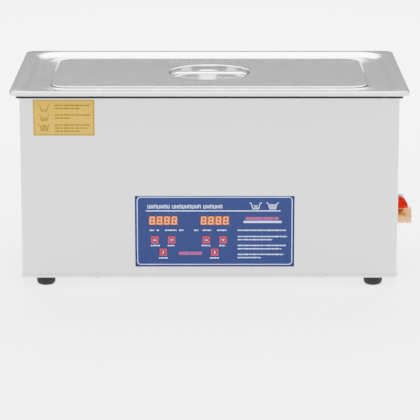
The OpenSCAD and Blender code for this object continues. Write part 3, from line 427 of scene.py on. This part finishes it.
shapes = [(0, CORNER_R, lid_top - EDGE_H), (0, CORNER_R, lid_top - EDGE_R)]
for degrees in (30, 60, 90):
    turn = math.radians(degrees)
    inset = EDGE_R * (1 - math.cos(turn))
    shapes.append((inset, CORNER_R - inset, lid_top - EDGE_R * (1 - math.sin(turn))))
for i in range(13):
    t = i / 12
    drop = CHANNEL_DEPTH * (t - math.sin(2 * math.pi * t) / (2 * math.pi))
    shapes.append((BORDER + SLOPE * t, 0.034 + 0.003 * t, lid_top - drop))
channel_in = BORDER + SLOPE + CHANNEL
for i in range(7):
    t = i / 6
    rise = PANEL_RISE * (1 - math.cos(math.pi * t)) / 2
    shapes.append((channel_in - 0.0008 + (STEP + 0.0008) * t, 0.024 - 0.002 * t,
                   lid_top - CHANNEL_DEPTH + rise))
# A flat strip inside the step keeps the centre panel's shading flat
shapes.append((channel_in + STEP + 0.002, 0.020, panel_top))
bm = bmesh.new()
panel_edge = drawn_sheet(bm, shapes)
# Half the dish's section, turned about the lid's middle
section = [(DISH_R + 0.003, 0.0)]
for degrees in (0, 30, 60, 85):
    turn = math.radians(degrees)
    section.append((DISH_R + DISH_LIP * (1 - math.sin(turn)), -DISH_LIP * (1 - math.cos(turn))))
for i in range(1, 11):
    t = i / 10
    section.append((DISH_R * (1 - t ** 2.2), -DISH_DEPTH * math.sqrt(1 - (1 - t) ** 2) * 0.97))
dish = [bm.verts.new((mid_x + r, 0, panel_top + z)) for r, z in section]
dish_edges = [bm.edges.new(pair) for pair in zip(dish, dish[1:])]
bmesh.ops.spin(bm, geom=dish + dish_edges, cent=(mid_x, 0, 0), axis=(0, 0, 1),
               angle=2 * math.pi, steps=72, use_merge=True)
on_rim = [abs(math.hypot(v.co.x - mid_x, v.co.y) - section[0][0]) < 0.01 * MM for v in bm.verts]
bm.verts.index_update()
dish_rim = [e for e in bm.edges if e.is_boundary and all(on_rim[v.index] for v in e.verts)]
bmesh.ops.triangle_fill(bm, edges=panel_edge + dish_rim, use_beauty=True, use_dissolve=False)
face_up(bm)
lid = make_piece("lid_pressing", bm, satin_steel, "lid", 60)
wall = lid.modifiers.new("sheet", "SOLIDIFY")
wall.thickness = LID_SHEET
wall.offset = -1
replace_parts(lid, "lid")

# The strap is bent down at both ends to meet the recess's wall
bm = bmesh.new()
bmesh.ops.create_grid(bm, x_segments=28, y_segments=6, size=0.5)
bmesh.ops.scale(bm, vec=(2 * DISH_R - 0.0004, STRAP_W, 1), verts=bm.verts)
for vert in bm.verts:
    end = max(0, abs(vert.co.x) - (DISH_R - STRAP_BEND)) / STRAP_BEND
    crown = 1 - (vert.co.y / (STRAP_W / 2)) ** 4
    vert.co.z = panel_top - 0.0004 - 0.0045 * end ** 2 + 0.0012 * crown * (1 - end)
    vert.co.x += mid_x
strap = make_piece("lid_strap", bm, satin_steel, "lid")
wall = strap.modifiers.new("sheet", "SOLIDIFY")
wall.thickness = STRAP_T
wall.offset = -1
soft = strap.modifiers.new("ease", "BEVEL")
soft.width = 0.0005
soft.segments = 2
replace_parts(strap, "lid_handle")


# ---- tank ----
# A welded and drawn stainless tank, hung in the housing by its flange, with rounded
# corners and a drain hole in its floor.
tank_low, tank_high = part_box("tank")
TANK_FLOOR_R, TANK_CORNER_R, TANK_SHEET = 0.015, 0.040, 0.001
DRAIN_X, DRAIN_R = 0.196, 0.0102
floor_z = tank_low[2] + TANK_SHEET
shapes = [(0, CORNER_R, tank_high[2]), (0.0159, 0.041, tank_high[2]),
          (0.0165, 0.0405, tank_high[2] - 0.0002), (0.0169, TANK_CORNER_R, tank_high[2] - 0.001)]
for degrees in range(0, 91, 15):
    turn = math.radians(degrees)
    inset = 0.0265 + TANK_FLOOR_R * (1 - math.cos(turn))
    shapes.append((inset, TANK_CORNER_R - 0.012 * (1 - math.cos(turn)),
                   floor_z + TANK_FLOOR_R * (1 - math.sin(turn))))
bm = bmesh.new()
floor_edge = drawn_sheet(bm, shapes)
drain = bmesh.ops.create_circle(bm, segments=40, radius=DRAIN_R)["verts"]
bmesh.ops.translate(bm, vec=(DRAIN_X, 0, floor_z), verts=drain)
hole_edge = list({e for v in drain for e in v.link_edges})
bmesh.ops.triangle_fill(bm, edges=floor_edge + hole_edge, use_beauty=True, use_dissolve=False)
face_up(bm)
tank = make_piece("tank_pressing", bm, satin_steel, "root", 60)
wall = tank.modifiers.new("sheet", "SOLIDIFY")
wall.thickness = TANK_SHEET
wall.offset = -1
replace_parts(tank, "tank")


# ---- control panel ----
# A printed film bonded to the front: a blue field inside a white line, with the panel's
# dark blue ground outside it. Names and sentences on it are plain bars.
# Screen ink dries flat and matt: pale blue-white for words, a dull red, and a dark ring
white_ink = moulded("white_screen_ink", "#aebce6", 0.5, 2.0, 0.00001, Specular_IOR_Level=0.2)
red_ink = moulded("red_screen_ink", "#6f2a5a", 0.5, 2.0, 0.00001, Specular_IOR_Level=0.2)
# Embossed polyester keys: deep red and slightly glossy, with soft raised edges
key_film = moulded("embossed_key_film", "#8c1038", 0.45, 3.0, 0.00003, Specular_IOR_Level=0.2)
finish_slot("key_red", key_film)
KEYS = ("temp_up", "temp_down", "temp_power", "time_up", "time_down", "time_power")
for key in KEYS:
    eased(key + "_key", 0.25)
# Tinted display resin glows a little round its lit amber segments
lens_resin = moulded("display_lens_resin", "#5e2010", 0.35, 6.0, 0.00001, Specular_IOR_Level=0.2,
                     Emission_Color=linear("#a8420f"), Emission_Strength=0.2)
finish_slot("display_lens", lens_resin)
lit_segment = moulded("lit_amber_segment", "#c06a18", 0.4, 6.0, 0.00001,
                      Emission_Color=linear("#ff8f1c"), Emission_Strength=1.1)

overlay_low, overlay_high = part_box("control_overlay")
overlay_mid = [(overlay_low[i] + overlay_high[i]) / 2 for i in range(3)]
overlay_front = overlay_low[1]
LINE_INSET, LINE_R, LINE_HALF, LINE_RISE = 0.0034, 0.0045, 0.00045, 0.0008
# Screen-printed polyester: a slightly uneven blue with a dull shine. The line is where
# the distance to a rounded box is near nothing, and the dark ground is outside it.
film, tree, shader = new_material("printed_blue_film", "#0b3a92", roughness=0.42, Specular_IOR_Level=0.2)
place = add(tree, "ShaderNodeTexCoord")
line_mid = (overlay_mid[0], overlay_mid[1], overlay_mid[2] + LINE_RISE)
centred = add(tree, "ShaderNodeVectorMath", {0: place.outputs["Object"]}, {1: line_mid},
              operation="SUBTRACT")
sides = add(tree, "ShaderNodeVectorMath", {0: centred.outputs[0]}, operation="ABSOLUTE")
half = [(overlay_high[i] - overlay_low[i]) / 2 - LINE_INSET - LINE_R for i in (0, 2)]
half[1] += LINE_RISE
over = add(tree, "ShaderNodeVectorMath", {0: sides.outputs[0]}, {1: (half[0], 1, half[1])},
           operation="SUBTRACT")
outer = add(tree, "ShaderNodeVectorMath", {0: over.outputs[0]}, {1: (0, 0, 0)}, operation="MAXIMUM")
reach = add(tree, "ShaderNodeVectorMath", {0: outer.outputs[0]}, operation="LENGTH")
past = add(tree, "ShaderNodeMath", {0: reach.outputs["Value"]}, {1: LINE_R}, operation="SUBTRACT")
off_line = add(tree, "ShaderNodeMath", {0: past.outputs[0]}, operation="ABSOLUTE")
on_line = add(tree, "ShaderNodeMath", {0: off_line.outputs[0]}, {1: LINE_HALF}, operation="LESS_THAN")
outside = add(tree, "ShaderNodeMath", {0: past.outputs[0]}, {1: 0.0}, operation="GREATER_THAN")
mottle = add(tree, "ShaderNodeTexNoise", {"Vector": place.outputs["Object"]},
             {"Scale": 18.0, "Detail": 2.0})
blue = add(tree, "ShaderNodeMix", {"Factor": mottle.outputs["Fac"]}, data_type="RGBA")
blue.inputs["A"].default_value, blue.inputs["B"].default_value = linear("#031243"), linear("#06184a")
ground = add(tree, "ShaderNodeMix", {"Factor": outside.outputs[0], "A": blue.outputs["Result"]},
             data_type="RGBA")
ground.inputs["B"].default_value = linear("#04083a")
printed = add(tree, "ShaderNodeMix", {"Factor": on_line.outputs[0], "A": ground.outputs["Result"]},
              data_type="RGBA")
printed.inputs["B"].default_value = linear("#93a5dc")
tree.links.new(printed.outputs["Result"], shader.inputs["Base Color"])
finish_slot("overlay_film", film)

INK_T = 0.00012


def ink_bar(bm, x, z, length, height, y):
    made = bmesh.ops.create_cube(bm, size=1)["verts"]
    bmesh.ops.scale(bm, vec=(length * MM, INK_T, height * MM), verts=made)
    bmesh.ops.translate(bm, vec=(x * MM, y, z * MM), verts=made)
    return made


def ink_stroke(bm, start, end, width, y):
    (x0, z0), (x1, z1) = start, end
    made = ink_bar(bm, 0, 0, math.hypot(x1 - x0, z1 - z0) + width * 0.6, width, 0)
    turn = Matrix.Rotation(-math.atan2(z1 - z0, x1 - x0), 4, "Y")
    bmesh.ops.transform(bm, matrix=turn, verts=made)
    bmesh.ops.translate(bm, vec=((x0 + x1) / 2 * MM, y, (z0 + z1) / 2 * MM), verts=made)


def words_bar(bm, x, z, length, height, y, rhythm):
    """A line of words as short bars with gaps between them."""
    at, k = x, 0
    while at < x + length - 0.5:
        word = min(rhythm[k % len(rhythm)], x + length - at)
        ink_bar(bm, at + word / 2, z, word, height, y)
        at += word + 0.9
        k += 1


def basin(bm, x, z, width, height, y, stroke):
    """A basin sign: a tapered bowl with two lips."""
    w = width / 2
    path = [(-w, 1), (-w * 0.72, 0.78), (-w * 0.5, 0), (w * 0.5, 0), (w * 0.72, 0.78), (w, 1)]
    spots = [(x + px, z + pz * height) for px, pz in path]
    for start, end in zip(spots, spots[1:]):
        ink_stroke(bm, start, end, stroke, y)


# The print is laid out in millimetres from the overlay's middle, px across and pz up
px, pz = overlay_mid[0] / MM, overlay_mid[2] / MM
ink_y = overlay_front - INK_T / 2
TITLE_H, TITLE_W, TITLE_GAP = 4.6, 2.6, 1.75
bm = bmesh.new()
at = px - 89.5
for blocks in (7, 9, 6):
    for k in range(blocks):
        for x in (at, at + TITLE_W):
            ink_bar(bm, x, pz + 34.2, 0.7, TITLE_H, ink_y)
        level = (k % 3 - 1) * (TITLE_H - 0.7) / 2
        ink_bar(bm, at + TITLE_W / 2, pz + 34.2 + level, TITLE_W, 0.7, ink_y)
        at += TITLE_W + TITLE_GAP
    at += 2.6
# A rule under the title, two basin signs on it, and a bar under the red words
ink_bar(bm, px - 2, pz + 28.5, 179.7, 0.9, ink_y)
for x in (px + 54.8, px + 77.5):
    basin(bm, x, pz + 31.2, 15.5, 8.6, ink_y, 0.75)
for i in range(3):
    ink_bar(bm, px + 77.5, pz + 33 + i * 1.9, 8.5, 0.7, ink_y)
for turn in (-1, 1):
    ink_stroke(bm, (px + 52.6, pz + 34.6 - turn * 1.7), (px + 57.0, pz + 34.6 + turn * 1.7), 0.7, ink_y)
ink_bar(bm, px + 64, pz + 13.3, 50.5, 2.4, ink_y)
# Words under the displays, under the keys, and in the column at the right
for x, length in ((-86.9, 6), (-77.5, 4), (-66.4, 15), (-47.5, 6), (-27.4, 5), (-15.8, 11), (3.3, 12.4)):
    words_bar(bm, px + x, pz + 1.7, length, 1.3, ink_y, (2.6, 1.8, 3.4))
for x, length in ((-85.6, 12), (-62.9, 10), (-17.2, 11), (6.3, 7.6)):
    words_bar(bm, px + x, pz - 19.4, length, 1.3, ink_y, (2.2, 3.0, 1.6))
for x in (-74.8, -6.1):
    words_bar(bm, px + x, pz - 36.6, 12.7, 1.3, ink_y, (1.8, 2.6))
for z, length in ((1.7, 65), (-6.9, 66), (-11.2, 46), (-19.3, 65), (-23.8, 58), (-31.7, 61), (-36.1, 31)):
    words_bar(bm, px + 31, pz + z, length, 1.1, ink_y, (4.4, 2.2, 5.8, 3.1, 6.4, 2.7))
make_piece("panel_white_print", bm, white_ink, "root")
bm = bmesh.new()
words_bar(bm, px + 41.4, pz + 18, 44, 4.0, ink_y, (22, 14, 8))
words_bar(bm, px - 48, pz - 30.1, 32, 4.2, ink_y, (14, 16))
make_piece("panel_red_print", bm, red_ink, "root")

# Seven-segment digits: each is seven bars, 9.2 mm tall and leaning a little
lens_low, lens_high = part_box("led_displays")
DIGIT_PITCH, DIGIT_H, DIGIT_W, SEGMENT_T, LEAN = 9.9, 9.2, 5.2, 1.2, 0.07
segment_y = lens_low[1] - 0.0001
bm = bmesh.new()
for group_x in (-69, 0):
    for digit in range(4):
        x = px + group_x + (digit - 1.5) * DIGIT_PITCH
        z = pz + 15
        w, h = DIGIT_W / 2, DIGIT_H / 2
        for (x0, z0), (x1, z1) in (
            ((-w, h), (w, h)), ((-w, 0), (w, 0)), ((-w, -h), (w, -h)),
            ((-w, 0), (-w, h)), ((w, 0), (w, h)), ((-w, -h), (-w, 0)), ((w, -h), (w, 0)),
        ):
            start, end = (x + x0 + LEAN * z0, z + z0), (x + x1 + LEAN * z1, z + z1)
            ink_stroke(bm, start, end, SEGMENT_T, segment_y)
        ink_bar(bm, x + w + 1.7, z - h, 1.0, 1.0, segment_y)
make_piece("lit_digits", bm, lit_segment, "root")

# Each key has a dark ring with a white sign in it
key_dark = moulded("dark_key_ink", "#43081f", 0.5, 2.0, 0.00001, Specular_IOR_Level=0.2)
RING_R = 0.0031
for key in KEYS:
    node = key + "_key"
    low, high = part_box(node)
    x, y, z = (low[0] + high[0]) / 2 / MM, low[1] - INK_T / 2, (low[2] + high[2]) / 2 / MM
    bm = bmesh.new()
    ring = bmesh.ops.create_cone(bm, cap_ends=True, segments=32, radius1=RING_R, radius2=RING_R,
                                 depth=INK_T)
    bmesh.ops.rotate(bm, matrix=Matrix.Rotation(math.radians(90), 3, "X"), verts=ring["verts"])
    bmesh.ops.translate(bm, vec=(x * MM, y, z * MM), verts=ring["verts"])
    make_piece(node + "_ring", bm, key_dark, body_of(node))
    bm = bmesh.new()
    sign_y = y - INK_T
    if "power" in node:
        ink_bar(bm, x, z, 1.1, 3.8, sign_y)
    else:
        tip = 1.7 if "up" in node else -1.7
        ink_stroke(bm, (x - 1.2, z - tip * 0.35), (x, z + tip * 0.6), 1.3, sign_y)
        ink_stroke(bm, (x + 1.2, z - tip * 0.35), (x, z + tip * 0.6), 1.3, sign_y)
        ink_bar(bm, x, z - tip * 0.2, 1.6, 1.4, sign_y)
    make_piece(node + "_sign", bm, white_ink, body_of(node))


# ---- care label and rating plate ----
# A yellow vinyl sticker with a printed frame and three basin signs, and a black film
# plate with silver cells on the back. Words are plain bars and cells are empty.
# Yellow vinyl: flat and matt, with brown ink that sinks into it
label_vinyl = moulded("printed_yellow_vinyl", "#a98800", 0.5, 5.0, 0.00003, Specular_IOR_Level=0.05)
finish_slot("label_film", label_vinyl)
brown_ink = moulded("brown_screen_ink", "#5a4300", 0.5, 2.0, 0.00001, Specular_IOR_Level=0.2)
# Black film with metallic silver ink: the cells flash as the light moves
plate_film = moulded("printed_black_film", "#111111", 0.45, 5.0, 0.00003, Specular_IOR_Level=0.2)
finish_slot("plate_film", plate_film)
silver_ink = moulded("silver_screen_ink", "#b9bbbd", 0.35, 2.0, 0.00001, Metallic=0.6)
label_low, label_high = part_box("care_label")
lx, lz, ly = label_low[0] / MM, label_low[2] / MM, label_low[1] - INK_T / 2
bm = bmesh.new()
LABEL_L, LABEL_H = [(label_high[i] - label_low[i]) / MM for i in (0, 2)]
FRAME_W, FRAME_IN = 0.8, 1.6
for z in (FRAME_IN, LABEL_H - FRAME_IN):
    ink_bar(bm, lx + LABEL_L / 2, lz + z, LABEL_L - 2 * FRAME_IN, FRAME_W, ly)
for x in (FRAME_IN, LABEL_L - FRAME_IN):
    ink_bar(bm, lx + x, lz + LABEL_H / 2, FRAME_W, LABEL_H - 2 * FRAME_IN, ly)
for z, marks, lengths in ((33.5, 1, (47, 33)), (20.5, 2, (48, 22)), (7, 4, (47, 43, 34))):
    basin(bm, lx + 15, lz + z, 15, 9, ly, 1.0)
    for k in range(marks):
        ink_bar(bm, lx + 15, lz + z + 2.0 + 1.7 * k, 7, 0.9, ly)
    for k, length in enumerate(lengths):
        words_bar(bm, lx + 29, lz + z + 7.8 - 4.2 * k, length, 1.7, ly, (6, 4, 8, 5))
make_piece("label_print", bm, brown_ink, "root")

plate_low, plate_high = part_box("rating_plate")
bm = bmesh.new()
CELL_H, CELL_PITCH = 5.7, 9.5
for row in range(5):
    for x, length in ((21, 34), (70, 52)):
        z = plate_high[2] / MM - 10 - row * CELL_PITCH
        ink_bar(bm, plate_low[0] / MM + x, z, length, CELL_H, plate_high[1] + INK_T / 2)
make_piece("plate_cells", bm, silver_ink, "root")


# ---- drain valve ----
# A turned brass ball valve with a hexagon at its mouth. A flat steel lever sits on its
# stem under a nut, with its free end dipped in thick red vinyl.

# Turned brass: golden brown, with dull reflections across the turning lines
turned_brass = brushed_steel("turned_brass", "#b07a42", 0.42, (900, 60, 60), 0.00003)
finish_slot("brass", turned_brass)
eased("valve_body", 0.4)
eased("lever_nut", 0.4)
# Turned PTFE seats: white and waxy
ptfe = moulded("turned_ptfe", "#eeeeea", 0.45, 1.0, 0.00003)
finish_slot("ptfe", ptfe)
# Dipped vinyl: an even deep red with no gloss
dipped_vinyl = moulded("dipped_red_vinyl", "#9c0505", 0.6, 4.0, 0.00008, Specular_IOR_Level=0.0)
finish_slot("lever_red", dipped_vinyl)
lever_low, lever_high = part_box("valve_lever")
stem_x = frame["record"]["behaviour"]["joints"][2]["pos_m"][0]
lever_z = (lever_low[2] + lever_high[2]) / 2
bm = bmesh.new()
EYE_R, PLATE_T, ARM_W, GRIP_L = 0.0068, 0.0026, 0.009, 0.047
bmesh.ops.create_cone(bm, cap_ends=True, segments=40, radius1=EYE_R, radius2=EYE_R, depth=PLATE_T)
bmesh.ops.translate(bm, vec=(stem_x, 0, lever_z), verts=bm.verts)
arm = bmesh.ops.create_cube(bm, size=1)["verts"]
bmesh.ops.scale(bm, vec=(ARM_W, 0.020, PLATE_T), verts=arm)
bmesh.ops.translate(bm, vec=(stem_x, -0.012, lever_z), verts=arm)
plate = make_piece("lever_plate", bm, zinc_steel, "valve")
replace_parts(plate, "valve_lever")
bm = bmesh.new()
bmesh.ops.create_cube(bm, size=1)
bmesh.ops.scale(bm, vec=(0.0135, GRIP_L, 0.0062), verts=bm.verts)
bmesh.ops.subdivide_edges(bm, edges=bm.edges, cuts=3, use_grid_fill=True)
for vert in bm.verts:
    t = 0.5 - vert.co.y / GRIP_L
    vert.co.x *= 0.80 + 0.42 * t
    vert.co.z *= 1.0 - 0.15 * t
    vert.co.z += 0.0008 * math.sin(math.pi * t)
bmesh.ops.translate(bm, vec=(stem_x, -0.0265, lever_z), verts=bm.verts)
sleeve = make_piece("lever_sleeve", bm, dipped_vinyl, "valve", 80)
smooth = sleeve.modifiers.new("dip", "SUBSURF")
smooth.levels = smooth.render_levels = 2


# ---- basket ----
# Welded stainless wire: a square mesh of 1.6 mm wires bent up at the walls, a 5 mm rim
# and two 5 mm arches at the ends.

# Drawn wire, electropolished: bright, with a slightly rippled shine. The valve's ball
# has the same polish.
wire_steel = brushed_steel("drawn_stainless_wire", "#bdbdbd", 0.24, (160, 160, 160), 0.00003)
finish_slot("ball_chrome", wire_steel)


def wires(name, paths, diameter_mm, body, sides=1, closed=False):
    curve = bpy.data.curves.new(name, "CURVE")
    curve.dimensions = "3D"
    curve.bevel_depth = diameter_mm / 2 * MM
    curve.bevel_resolution = sides
    curve.use_fill_caps = True
    for path in paths:
        line = curve.splines.new("POLY")
        line.points.add(len(path) - 1)
        for point, spot in zip(line.points, path):
            point.co = (*spot, 1)
        line.use_cyclic_u = closed
    curve.materials.append(wire_steel)
    piece = bpy.data.objects.new(name, curve)
    bpy.context.scene.collection.objects.link(piece)
    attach(piece, body)
    return piece


def arc(centre, radius, start, end, steps=8):
    turns = [math.radians(start + (end - start) * i / steps) for i in range(steps + 1)]
    return [(centre[0] + radius * math.cos(a), centre[1] + radius * math.sin(a)) for a in turns]


walls_low, walls_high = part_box("basket_walls")
floor_low, floor_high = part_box("basket_floor")
WIRE, PITCH, CORNER, ARCH_R = 0.0016, 0.0095, 0.030, 0.0025
bx = mid_x
half_l, half_w = [(walls_high[i] - walls_low[i] - WIRE) / 2 for i in (0, 1)]
floor_wire_z, rim_z = floor_low[2] + WIRE / 2, walls_high[2]


def basket_outline(inset=0.0):
    spots, r = [], CORNER - inset
    for sx, sy, start in ((1, 1, 0), (-1, 1, 90), (-1, -1, 180), (1, -1, 270)):
        spots += arc((bx + sx * (half_l - CORNER), sy * (half_w - CORNER)), r, start, start + 90)
    return spots


hoops = []
levels = int((rim_z - floor_wire_z) / PITCH)
for k in range(levels + 1):
    z = floor_wire_z + k * (rim_z - floor_wire_z) / levels
    hoops.append([(x, y, z) for x, y in basket_outline()])
uprights = []
for x_side in range(int(2 * (half_l - CORNER) / PITCH) + 1):
    x = bx - (half_l - CORNER) + x_side * PITCH
    uprights.append([(x, -half_w + WIRE, rim_z), (x, -half_w + WIRE, floor_wire_z + 0.002),
                     (x, -half_w + 0.003, floor_wire_z), (x, half_w - 0.003, floor_wire_z),
                     (x, half_w - WIRE, floor_wire_z + 0.002), (x, half_w - WIRE, rim_z)])
for y_side in range(int(2 * (half_w - CORNER) / PITCH) + 1):
    y = -(half_w - CORNER) + y_side * PITCH
    z = floor_wire_z + WIRE
    uprights.append([(bx - half_l + WIRE, y, rim_z), (bx - half_l + WIRE, y, z + 0.002),
                     (bx - half_l + 0.003, y, z), (bx + half_l - 0.003, y, z),
                     (bx + half_l - WIRE, y, z + 0.002), (bx + half_l - WIRE, y, rim_z)])
for sx, sy, start in ((1, 1, 0), (-1, 1, 90), (-1, -1, 180), (1, -1, 270)):
    centre = (bx + sx * (half_l - CORNER), sy * (half_w - CORNER))
    for x, y in arc(centre, CORNER - WIRE, start, start + 90, 5)[1:-1]:
        uprights.append([(x, y, rim_z), (x, y, floor_wire_z)])
hoop_wires = wires("basket_hoops", hoops, 1.6, "basket", closed=True)
mesh_wires = wires("basket_mesh", uprights, 1.6, "basket")
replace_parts(hoop_wires, "basket_walls")
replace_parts(mesh_wires, "basket_floor")
rim = wires("basket_rim_wire", [[(x, y, rim_z + ARCH_R) for x, y in basket_outline()]], 5,
            "basket", 4, closed=True)
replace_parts(rim, "basket_rim")
handles_low, handles_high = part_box("basket_handles")
arches = []
for x in (handles_low[0] + ARCH_R, handles_high[0] - ARCH_R):
    half_arch, top, r = handles_high[1] - ARCH_R, handles_high[2] - ARCH_R, 0.014
    shape = [(half_arch, handles_low[2])]
    shape += arc((half_arch - r, top - r), r, 0, 90) + arc((r - half_arch, top - r), r, 90, 180)
    shape += [(-half_arch, handles_low[2])]
    arches.append([(x, y, z) for y, z in shape])
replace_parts(wires("basket_arches", arches, 5, "basket", 4), "basket_handles")
